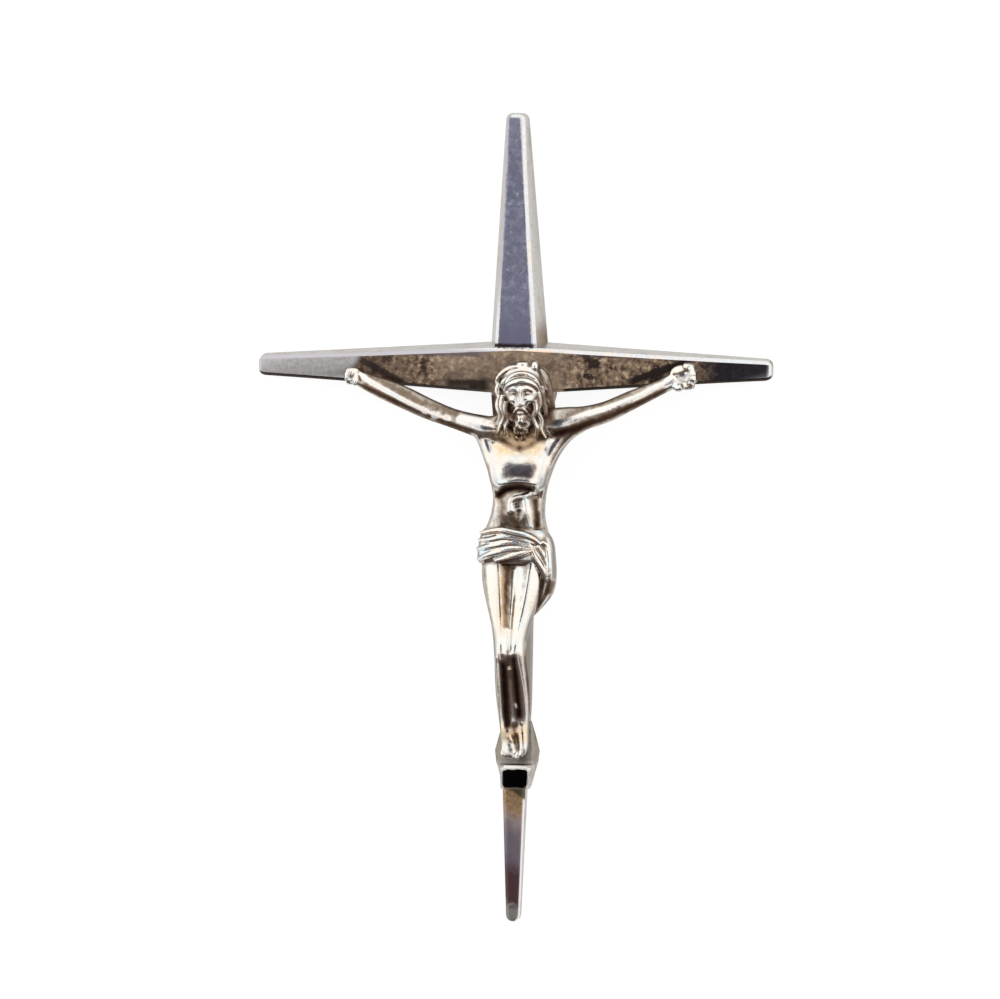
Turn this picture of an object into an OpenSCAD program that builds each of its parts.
// Crucifix pendant: a cast silver cross whose four arms taper to their tips, with a cast figure
// pinned to it through the palms, a foot rest, and a plain bar in a pocket of the back to hang it by.
// Millimetres. The back lies on z = 0, the front looks along +Z, the long arm points along -Y,
// and the origin is the middle of the crossing on the back.

/* [Cross] */
// Length of the upper arm, from the middle of the crossing
upper_l = 16.9; // [12:0.1:24]
// Length of the lower arm, from the middle of the crossing
lower_l = 36.9; // [33:0.1:46]
// Length of the left side arm, from the middle of the crossing
left_l = 17.3; // [14.5:0.1:24]
// Length of the right side arm, from the middle of the crossing
right_l = 16.9; // [14.5:0.1:24]
// Thickness of the crossbar at the crossing
bar_t = 2.9; // [2.6:0.05:3.4]
// Thickness of the upright at the crossing
post_t = 2.75; // [2.5:0.05:3.2]
// Thickness at the tips of the side arms and of the upper arm
tip_t = 1.15; // [0.9:0.05:1.6]
// Thickness at the tip of the lower arm
foot_t = 0.87; // [0.7:0.01:1.3]
// Width of the crossbar's back at the crossing
bar_w = 3.5; // [3:0.1:4.2]
// Width of the upper arm's back at the crossing
upper_w = 4.0; // [3.6:0.1:4.8]
// Width of the lower arm's back at the crossing
lower_w = 4.4; // [3.8:0.1:4.8]
// Width of the back at the tips of the side arms
side_tip_w = 1.38; // [1.2:0.02:2]
// Width of the back at the tip of the upper arm
upper_tip_w = 1.5; // [1.2:0.05:2]
// Width of the back at the tip of the lower arm
foot_w = 0.94; // [0.8:0.01:1.4]
// Bevel along the front edges
edge_bevel = 0.22; // [0.1:0.01:0.3]
// Radius of the corners at the tips
tip_r = 0.4; // [0.2:0.02:0.4]
// How far the upper tip lies to the right of the crossing
upper_lean = -0.14; // [-0.5:0.02:0.5]
// How far the lower tip lies to the right of the crossing
lower_lean = -0.4; // [-0.6:0.05:0.6]
// How far the lower arm's root lies to the right of the crossing
root_lean = 0.45; // [-0.5:0.05:0.5]

/* [Foot rest] */
// Distance of the foot rest's upper edge below the crossing
rest_y = 26.3; // [25.9:0.1:28]
// Height of the block's front face
rest_h = 1.6; // [1.2:0.1:2.2]
// Width of the block's front face
rest_w = 2.1; // [1.6:0.05:2.4]
// How far the foot rest lies to the right of the lower arm's middle
rest_x = 0.23; // [-0.2:0.01:0.25]
// Height of the block's front over the back of the cross
rest_z = 2.75; // [2.4:0.05:3.1]
// Widest width of the plate behind the feet
plate_w = 3.0; // [2.6:0.05:3.6]

/* [Figure] */
// Sideways place of the chest's middle
fig_x = 0.4; // [-0.5:0.05:0.8]
// Distance from the crossing's middle to the middle of each palm
palm_x = 10.95; // [9.5:0.05:12.5]
// Distance of the palms below the crossing's middle
palm_y = 0.5; // [0.2:0.05:0.8]
// Distance of the shoulders below the crossing's middle
shoulder_y = 3.5; // [3.2:0.05:4]
// How much higher the right shoulder is than the middle, and the left one lower
shoulder_tilt = 0.25; // [0:0.05:0.4]
// Distance between the shoulder joints
shoulder_w = 4.3; // [3.6:0.1:4.8]
// Length of the trunk, from the shoulders to the fork of the legs
trunk_l = 9.75; // [9:0.05:10.2]
// Width of the chest
chest_w = 4.7; // [4.2:0.1:5.2]
// Height of the chest's front over the cross
chest_z = 2.5; // [2.1:0.05:2.9]
// Thickness of the upper arm
arm_w = 1.36; // [1.1:0.02:1.6]
// Thickness of the thigh
thigh_w = 2.0; // [1.7:0.05:2.2]
// Length of the head, from the crown to the tip of the beard
head_l = 5.35; // [4.8:0.05:5.8]
// Width of the head with its hair
head_w = 3.35; // [3:0.05:3.7]
// Depth of the head with its hair
head_d = 2.9; // [2.6:0.05:3.3]
// Height of the loincloth at its front
cloth_h = 2.1; // [1.7:0.05:2.4]
// Width of the loincloth across the hips
cloth_w = 5.15; // [4.6:0.05:5.4]
// Thickness of one fold of the loincloth
fold_w = 0.42; // [0.3:0.02:0.5]

/* [Pins and bail] */
// Diameter of the pin through each palm
pin_d = 0.5; // [0.4:0.02:0.6]
// Depth of each pin's hole in the crossbar
pin_depth = 0.9; // [0.6:0.05:1.1]
// Distance of the bail pocket's middle above the crossing
bail_y = 4.6; // [4:0.1:6]
// Length of the bail pocket, along the upper arm
pocket_l = 3.4; // [3:0.1:3.8]
// Width of the bail pocket
pocket_w = 2.0; // [1.8:0.05:2.1]
// Depth of the bail pocket
pocket_d = 1.65; // [1.5:0.05:1.8]
// Diameter of the bail bar
bail_d = 0.8; // [0.6:0.02:0.9]
// How far each end of the bail bar goes into the pocket's wall
bail_grip = 0.25; // [0.15:0.05:0.3]

/* [Fit] */
// Gap between pieces that are fastened together
gap = 0.03; // [0.02:0.01:0.05]

/* [Hidden] */
silver = [0.80, 0.79, 0.76];
slate = [0.42, 0.42, 0.50];
warm_silver = [0.86, 0.83, 0.77];
dark_silver = [0.30, 0.28, 0.27];

// How much the side walls of each arm lean inwards at the crossing
upper_draft = 0.125 * upper_w;
bar_draft = 0.046 * bar_w;
lower_draft = 0.014 * lower_w;
// Distance of the fork of the legs below the crossing, and of the crown above it
trunk_end = shoulder_y + trunk_l;
crown_y = 0.15 * head_l;
// Facets of a small sphere and of a round hole
knob_fn = 8;
hole_fn = 48;

// Straight taper and the lower arm's flared one: distance along the arm, width left, root's lean left
STRAIGHT = [[0, 1, 1], [0.3, 0.7, 0.7], [0.55, 0.45, 0.45], [0.8, 0.2, 0.2], [1, 0, 0]];
FLARED = [
    [0, 1, 1],
    [0.05, 0.93, 0.93],
    [0.12, 0.67, 0.62],
    [0.3, 0.53, 0.45],
    [0.46, 0.36, 0.25],
    [0.6, 0.305, 0.25],
    [0.8, 0.155, 0.12],
    [1, 0, 0]
];
// Lean of the side walls: distance along the arm, share of the lean at the crossing
LEAN = [[0, 1], [0.3, 0.87], [0.55, 0.8], [0.8, 0.58], [1, 0.3]];
// Turns of a tip's rounded corner: angle, and share of the front bevel that is left there
TURNS = [[0, 1], [35, 1], [65, 1], [90, 0.4]];
// Foot rest: distance below its upper edge, back half width, front half width, height of the front
REST = [
    [-1.8, 0.31, 0.43, 0.06],
    [-1.2, 0.41, 0.50, 0.22],
    [-0.55, 0.50, 0.59, 0.42],
    [-0.03, 0.465, 0.58, 0.45],
    [0, 0.46, 0.46, 0.90],
    [0.1, 0.44, 0.50, 1],
    [0.9, 0.33, 0.47, 1],
    [1, 0.30, 0.44, 0.92]
];
// Trunk: distance below the shoulders, sideways place, half width, height of the front
TRUNK = [
    [-0.05, 0.02, 0.18, 0.55],
    [0.03, 0.02, 0.42, 0.80],
    [0.12, 0.005, 0.50, 0.96],
    [0.23, 0, 0.495, 1],
    [0.34, -0.005, 0.43, 0.96],
    [0.45, -0.01, 0.383, 0.86],
    [0.56, -0.025, 0.368, 0.74],
    [0.67, -0.06, 0.41, 0.78],
    [0.79, -0.06, 0.47, 0.86],
    [0.90, -0.06, 0.47, 0.86],
    [1, -0.055, 0.42, 0.70]
];
// Leg: distance down it, place of the left and right one, half width, half depth, height of the middle
LEG = [
    [0, -0.84, 0.25, 0.52, 0.48, 0.60],
    [0.10, -0.87, 0.26, 0.52, 0.50, 0.65],
    [0.24, -0.74, 0.11, 0.43, 0.44, 0.70],
    [0.42, -0.65, -0.17, 0.32, 0.34, 0.74],
    [0.55, -0.60, -0.07, 0.31, 0.30, 0.62],
    [0.70, -0.57, -0.01, 0.32, 0.30, 0.52],
    [0.85, -0.54, 0.01, 0.28, 0.26, 0.48],
    [1, -0.48, 0.01, 0.22, 0.23, 0.52]
];
// Arm: distance along it, how far the left and the right one hang under a straight line, half thickness
ARM = [
    [0, 0, 0, 0.60],
    [0.1, -0.002, -0.010, 0.58],
    [0.28, 0.016, 0.036, 0.53],
    [0.5, 0.022, 0.050, 0.53],
    [0.7, 0.011, 0.028, 0.47],
    [0.85, 0.002, 0.008, 0.39],
    [0.93, 0, 0.002, 0.34],
    [1, 0, 0, 0.33]
];
// Web of muscle under the left and the right arm: distance out from the shoulder, distance below it, radius
WEBS = [
    [[0.14, 0.02, 0.47], [0.02, 0.09, 0.44], [-0.06, 0.22, 0.32], [-0.12, 0.34, 0.19]],
    [[0.27, 0.06, 0.50], [0.07, 0.12, 0.56], [-0.045, 0.24, 0.44], [-0.11, 0.36, 0.26]]
];
// Head: distance below the crown, half width, height of the front, height of the back
HEAD = [
    [0, 0.30, 0.50, 0.30],
    [0.06, 0.62, 0.72, 0.12],
    [0.15, 0.86, 0.88, 0.03],
    [0.28, 0.98, 0.97, 0],
    [0.42, 0.96, 0.93, 0],
    [0.55, 0.92, 0.86, 0],
    [0.70, 0.84, 0.84, 0.03],
    [0.85, 0.62, 0.82, 0.10],
    [0.95, 0.38, 0.76, 0.20],
    [1, 0.14, 0.68, 0.40]
];
// Loincloth: distance below its upper edge, half width, height of the front
CLOTH = [
    [0, 0.84, 0.88],
    [0.15, 0.91, 0.95],
    [0.5, 0.99, 0.98],
    [0.85, 1, 0.98],
    [1, 0.97, 0.92]
];
// Folds across the loincloth: start at the left hip and end near the knot, as shares of its height
FOLDS = [[0.06, 0.50], [0.40, 0.58], [0.72, 0.66], [1.02, 0.86]];
// Hanging end of the loincloth: sideways shares of its half width at the knot and at the hem
TAILS = [[0.50, 0.74], [0.64, 0.86], [0.82, 0.985]];
// The way down it: distance below the cloth's upper edge, share of the way out, narrowing, radius, set-back
HANG = [
    [0.4, 0, 1, 0.5, 0],
    [0.9, 0.6, 1, 0.7, 0],
    [1.5, 1, 1, 0.82, 0.04],
    [2.05, 1, 0.82, 0.55, 0.12],
    [2.6, 1, 0.55, 0.32, 0.2]
];
// Curled fingers: sideways place and reach, as shares of the palm
FINGERS = [[-0.62, 0.70], [-0.20, 0.86], [0.22, 0.86], [0.62, 0.70]];
// Long lock of hair: distance below the crown, and radius as a share of the head's width
LOCK = [[0.34, 0.085], [0.5, 0.095], [0.66, 0.09], [0.82, 0.07]];
// Bands of hair over the brow: distance below the crown and half width, as shares of the head
BANDS = [[0.06, 0.66], [0.16, 0.84], [0.27, 0.90]];

// Value of one column of a table at a place along it
function column(table, k, t) = lookup(t, [for (row = table) [row[0], row[k]]]);

// Value between two others
function between(a, b, t) = a + (b - a) * t;

// Power that keeps the sign, for sections between an ellipse and a box
function bulge(v, p) = sign(v) * pow(abs(v), p);

// Height of the front of the crossbar and of the upright
function bar_top(x) = between(bar_t, tip_t, min(abs(x) / (x < 0 ? left_l : right_l), 1));
function post_top(y) =
    between(post_t, y > 0 ? tip_t : foot_t, min(abs(y) / (y > 0 ? upper_l : lower_l), 1));

// Sideways place of the lower arm's middle
function post_x(y) = between(lower_lean, root_lean, column(FLARED, 2, -y / lower_l));

// Cross-section of an arm: the back, then the side walls, then the front between its bevels
function beam_ring(x, y, back, wall, low, high, bevel) = [
    [x - back, y, low],
    [x + back, y, low],
    [x + wall, y, high - bevel],
    [x + wall - bevel, y, high],
    [x - wall + bevel, y, high],
    [x - wall, y, high - bevel]
];

// Cross-section of an arm, rounded off near the tip by a turn of 0 to 90 degrees
function arm_ring(length, root_w, end_w, root_z, end_z, draft, leans, shape, d, turn = 0, left = 1) =
    let (
        t = d / length,
        half = between(end_w, root_w, column(shape, 1, t)) / 2,
        f = 1 - tip_r / (end_w / 2) * (1 - cos(turn)),
        drop = edge_bevel * (1 - cos(turn)),
        wall = (half - draft * column(LEAN, 1, t)) * f,
        high = between(root_z, end_z, t) - 0.9 * drop,
        bevel = edge_bevel * left * f
    )
    beam_ring(between(leans[1], leans[0], column(shape, 2, t)), -d, half * f, wall, 0, high, bevel);

// All cross-sections of an arm that points along -Y
function arm_rings(length, root_w, end_w, root_z, end_z, draft, leans, shape) = [
    for (row = shape)
        if (row[0] < 0.9)
            arm_ring(length, root_w, end_w, root_z, end_z, draft, leans, shape, row[0] * length),
    for (row = TURNS)
        arm_ring(length, root_w, end_w, root_z, end_z, draft, leans, shape,
            length - tip_r + tip_r * sin(row[0]), row[0], row[1])
];

// Closed skin through rings of equal size that run one after another
module loft(rings) {
    n = len(rings[0]);
    last = len(rings) - 1;
    polyhedron(
        points = [for (ring = rings) each ring],
        faces = [
            [for (i = [0 : n - 1]) i],
            [for (i = [n - 1 : -1 : 0]) last * n + i],
            for (j = [0 : last - 1], i = [0 : n - 1])
                let (a = j * n + i, b = j * n + (i + 1) % n)
                each [[a, a + n, b + n], [a, b + n, b]]
        ],
        convexity = 8
    );
}

// Ring in a plane across Y: flattish back, round front
function body_ring(x, y, half, low, high, n = 24) =
    let (mid = between(low, high, 0.36))
    [for (i = [0 : n - 1])
        let (a = 360 * i / n, s = sin(a))
        [x + half * bulge(cos(a), 0.85), y,
            s < 0 ? mid + (mid - low) * bulge(s, 0.7) : mid + (high - mid) * bulge(s, 0.85)]];

// Ring square to a path's direction
function limb_ring(c, along, half_w, half_d, n = 14) =
    let (
        u = cross([0, 0, 1], along) / norm(cross([0, 0, 1], along)),
        v = cross(along, u) / norm(along)
    )
    [for (i = [0 : n - 1])
        let (a = 360 * i / n)
        c + u * half_w * cos(a) + v * half_d * sin(a)];

// Row of small spheres joined one to the next
module string_of(points, radii) {
    for (i = [0 : len(points) - 2])
        hull() {
            translate(points[i]) sphere(radii[i], $fn = knob_fn);
            translate(points[i + 1]) sphere(radii[i + 1], $fn = knob_fn);
        }
}

// Place and size of the palm on one side, -1 for left and 1 for right
palm_r = arm_w * 0.55;
function palm_mid(side) = [side * palm_x, -palm_y, bar_top(side * palm_x) + gap + palm_r * 0.62];

// Pin's axis on one side
module at_palm(side) {
    translate([side * palm_x, -palm_y, 0]) children();
}

// Pocket in the back of the upper arm, with holes for the ends of the bail bar
module bail_pocket() {
    translate([-pocket_w / 2, bail_y - pocket_l / 2, -1]) cube([pocket_w, pocket_l, pocket_d + 1]);
    bail_bar_at(bail_d / 2 + gap, pocket_w + 2 * (bail_grip + gap));
}

// Round bar across the pocket
bail_sink = 0.25 * bail_d;
module bail_bar_at(r, length) {
    translate([0, bail_y, bail_sink + bail_d / 2]) rotate([0, 90, 0])
        cylinder(r = r, h = length, center = true, $fn = hole_fn);
}

module crossbar() {
    right = arm_rings(right_l, bar_w, side_tip_w, bar_t, tip_t, bar_draft, [0, 0], STRAIGHT);
    left = arm_rings(left_l, bar_w, side_tip_w, bar_t, tip_t, bar_draft, [0, 0], STRAIGHT);
    turned = [for (i = [len(left) - 1 : -1 : 1]) [for (p = left[i]) [p[0], -p[1], p[2]]]];
    rotate([0, 0, 90]) loft(concat(turned, right));
}

module cross() {
    color(slate) difference() {
        union() {
            crossbar();
            rotate([0, 0, 180])
                loft(arm_rings(upper_l, upper_w, upper_tip_w, post_t, tip_t, upper_draft,
                    [0, -upper_lean], STRAIGHT));
            loft(arm_rings(lower_l, lower_w, foot_w, post_t, foot_t, lower_draft,
                [root_lean, lower_lean], FLARED));
        }
        bail_pocket();
        for (side = [-1, 1])
            at_palm(side) translate([0, 0, bar_top(side * palm_x) - pin_depth])
                cylinder(r = pin_d / 2 + gap, h = bar_t, $fn = hole_fn);
    }
}

module foot_rest() {
    color(dark_silver) loft([
        for (row = REST)
            let (
                y = -rest_y - row[0] * rest_h,
                low = post_top(y) + gap,
                high = between(low, rest_z, row[3])
            )
            beam_ring(post_x(y) + rest_x, y, row[1] * plate_w, row[2] * rest_w, low, high,
                min(edge_bevel, (high - low) * 0.4))
    ]);
}

// Height of the trunk's front at a share of its length
function trunk_high(t) = post_top(-shoulder_y - t * trunk_l) + gap + column(TRUNK, 3, t) * chest_z;
function trunk_x(t) = fig_x + column(TRUNK, 1, t) * chest_w;

// Point under the trunk's front: shares of its length, of the chest's width and of its height
function trunk_at(t, across, under) =
    [trunk_x(t) + across * chest_w, -shoulder_y - t * trunk_l, trunk_high(t) - under * chest_z];

module trunk() {
    loft([
        for (row = TRUNK)
            let (y = -shoulder_y - row[0] * trunk_l)
            body_ring(trunk_x(row[0]), y, row[2] * chest_w, post_top(y) + gap, trunk_high(row[0]))
    ]);
    // Chest muscles and the round of the belly
    for (side = [-1, 1])
        translate(trunk_at(0.17, 0.2 * side, 0.1))
            scale([0.21 * chest_w, 0.095 * trunk_l, 0.13 * chest_z]) sphere(1, $fn = 16);
    translate(trunk_at(0.66, 0, 0.16))
        scale([0.2 * chest_w, 0.1 * trunk_l, 0.19 * chest_z]) sphere(1, $fn = 16);
}

// Middle of a leg at a share of its length; k is 1 for the left leg and 2 for the right one
leg_start = trunk_end - 0.067 * trunk_l;
leg_end = rest_y - 0.875 * rest_h;
function leg_mid(k, t) =
    let (y = -between(leg_start, leg_end, t))
    [fig_x + column(LEG, k, t) * thigh_w, y, post_top(y) + gap + column(LEG, 5, t) * thigh_w];

module leg(k) {
    loft([
        for (row = LEG)
            limb_ring(leg_mid(k, row[0]), [0, -1, 0], row[3] * thigh_w, row[4] * thigh_w, 16)
    ]);
}

// Foot from the ankle to the toes; reach is the toes' height over the foot rest, in thigh widths
sole_z = between(post_top(-rest_y), rest_z, 0.52) + 2 * gap;
module foot(k, toe_shift, toe_w, reach) {
    ankle = leg_mid(k, 1);
    toe = [ankle[0] + toe_shift * thigh_w, -rest_y + reach * thigh_w, sole_z + 0.15 * thigh_w];
    hull() {
        translate(leg_mid(k, 0.96)) sphere(0.21 * thigh_w, $fn = 14);
        translate([ankle[0], ankle[1] - 0.05 * thigh_w, sole_z + 0.22 * thigh_w])
            sphere(0.21 * thigh_w, $fn = 14);
        translate(toe) scale([toe_w, 0.12, 0.14] * thigh_w) sphere(1, $fn = 14);
    }
}

// Shoulder on one side, and the arm's middle at a share of its length
function shoulder(side) = [
    fig_x + side * shoulder_w / 2,
    -shoulder_y + side * shoulder_tilt,
    post_top(-shoulder_y) + gap + 0.56 * chest_z
];
function arm_mid(side, t) =
    let (a = shoulder(side), b = palm_mid(side))
    a + (b - a) * t - [0, column(ARM, side < 0 ? 1 : 2, t) * norm(b - a), 0];

module arm(side) {
    reach = palm_mid(side) - shoulder(side);
    loft([for (row = ARM) limb_ring(arm_mid(side, row[0]), reach, row[3] * arm_w, row[3] * arm_w)]);
    translate(arm_mid(side, 0.02)) scale([1, 0.92, 0.88]) sphere(0.63 * arm_w, $fn = 15);
    web = WEBS[(side + 1) / 2];
    string_of(
        [for (row = web) shoulder(side) + [side * row[0] * chest_w, -row[1] * trunk_l, -0.08 * chest_z]],
        [for (row = web) row[2] * arm_w]);
}

module hand(side) {
    mid = palm_mid(side);
    translate(mid) rotate([0, 0, side * 25]) scale([1.04, 0.96, 0.6]) sphere(palm_r, $fn = 18);
    for (f = FINGERS)
        string_of(
            [mid + palm_r * [side * 0.45, f[0] * 0.95, 0.1],
                mid + palm_r * [side * (0.45 + f[1] * 0.75), f[0] * 0.9 + 0.1, 0.32],
                mid + palm_r * [side * (0.30 + f[1] * 0.62), f[0] * 0.8 + 0.1, 0.78]],
            [0.26, 0.23, 0.20] * palm_r);
    string_of(
        [mid + palm_r * [-side * 0.3, 0.62, 0.15], mid + palm_r * [side * 0.25, 0.97, 0.6]],
        [0.31, 0.23] * palm_r);
}

// Point on the head's front at a share of its length and width
head_x = fig_x + 0.06 * head_w;
head_low = bar_t + gap;
function head_at(t, s) =
    [head_x + s * column(HEAD, 1, t) * head_w / 2, crown_y - t * head_l,
        head_low + head_d * between(column(HEAD, 3, t), column(HEAD, 2, t), 0.36 + 0.64 * sqrt(1 - s * s))];

module head() {
    loft([
        for (row = HEAD)
            body_ring(head_x, crown_y - row[0] * head_l, row[1] * head_w / 2,
                head_low + row[3] * head_d, head_low + row[2] * head_d, 20)
    ]);
    // Plain face: brow, nose and cheeks
    string_of([head_at(0.43, -0.42), head_at(0.42, 0), head_at(0.43, 0.42)], [0.05, 0.06, 0.05] * head_w);
    string_of([head_at(0.43, 0), head_at(0.57, 0) + [0, 0, 0.09 * head_d]], [0.035, 0.065] * head_w);
    for (side = [-1, 1])
        translate(head_at(0.57, side * 0.42)) sphere(0.09 * head_w, $fn = 12);
    // Bands of hair over the brow
    for (band = BANDS)
        string_of(
            [for (s = [-0.96 : 0.32 : 0.97]) head_at(band[0] + 0.16 * s * s, s * band[1])],
            [for (s = [0 : 6]) 0.075 * head_w]);
    // Long locks on both sides, down to the shoulders
    for (side = [-1, 1], lock = [0, 1])
        string_of(
            [for (row = LOCK) head_at(row[0], side * (0.97 - 0.16 * lock)) - [0, 0, 0.035 * head_d * lock]],
            [for (row = LOCK) row[1] * head_w]);
    // Curls of the beard
    for (s = [-0.5, 0, 0.5])
        string_of([head_at(0.72, s), head_at(0.96 - 0.2 * s * s, s * 0.7)], [0.1, 0.06] * head_w);
}

// Upper edge, slope and height of the loincloth, and its back's distance from the cross
cloth_y = trunk_end - 0.267 * trunk_l;
cloth_slope = 0.2;
cloth_z = 0.95 * chest_z;
cloth_back = 0.16 * chest_z;
function cloth_x() = trunk_x(0.85);

// Point on the loincloth, at shares of its height and of its half width
function cloth_at(v, s) =
    let (
        t = min(max(v, 0), 1),
        x = s * column(CLOTH, 1, t) * cloth_w / 2,
        y = -cloth_y - v * cloth_h,
        round = 0.36 + 0.64 * pow(1 - s * s, 0.43)
    )
    [cloth_x() + x, y - cloth_slope * x, post_top(y) + gap + cloth_z * column(CLOTH, 2, t) * round];

module loincloth() {
    loft([
        for (row = CLOTH)
            let (
                y = -cloth_y - row[0] * cloth_h,
                low = post_top(y - cloth_h) + 3 * gap + cloth_back,
                high = post_top(y) + gap + row[2] * cloth_z
            )
            [for (p = body_ring(cloth_x(), y, row[1] * cloth_w / 2, low, high))
                [p[0], p[1] - cloth_slope * (p[0] - cloth_x()), p[2]]]
    ]);
    // Folds that gather from the left hip to the knot
    for (fold = FOLDS)
        string_of(
            [for (t = [0 : 0.25 : 1])
                cloth_at(between(fold[0], fold[1], t) - 0.10 * sin(180 * t), between(-0.88, 0.5, t))],
            [for (t = [0 : 0.25 : 1]) fold_w * between(0.4, 0.42, t)]);
    // Hanging end on the right hip
    for (tail = TAILS)
        string_of(
            [for (row = HANG)
                cloth_at(row[0], between(tail[0], tail[1], row[1]) * row[2]) - [0, 0, row[4] * chest_z]],
            [for (row = HANG) row[3] * fold_w]);
}

module corpus() {
    color(warm_silver) difference() {
        union() {
            trunk();
            loincloth();
            head();
            leg(1);
            leg(2);
            foot(1, 0.1, 0.34, 0.21);
            foot(2, 0.02, 0.2, 0.25);
            for (side = [-1, 1]) {
                arm(side);
                hand(side);
            }
        }
        for (side = [-1, 1])
            at_palm(side) cylinder(r = pin_d / 2 + gap, h = 2 * bar_t, $fn = 16);
    }
}

// Pin through one palm, with a rounded end just under the palm's surface
module palm_pin(side) {
    top = palm_mid(side)[2] + palm_r * 0.42;
    color(dark_silver) at_palm(side) rotate_extrude($fn = hole_fn)
        polygon([
            [0, bar_top(side * palm_x) - pin_depth + gap],
            [pin_d / 2, bar_top(side * palm_x) - pin_depth + gap],
            [pin_d / 2, top - pin_d * 0.15],
            [pin_d * 0.3, top],
            [0, top]
        ]);
}

module palm_pin_left() { palm_pin(-1); }

module palm_pin_right() { palm_pin(1); }

module bail_bar() {
    color(silver) bail_bar_at(bail_d / 2, pocket_w + 2 * bail_grip);
}

cross();
foot_rest();
corpus();
palm_pin_left();
palm_pin_right();
bail_bar();
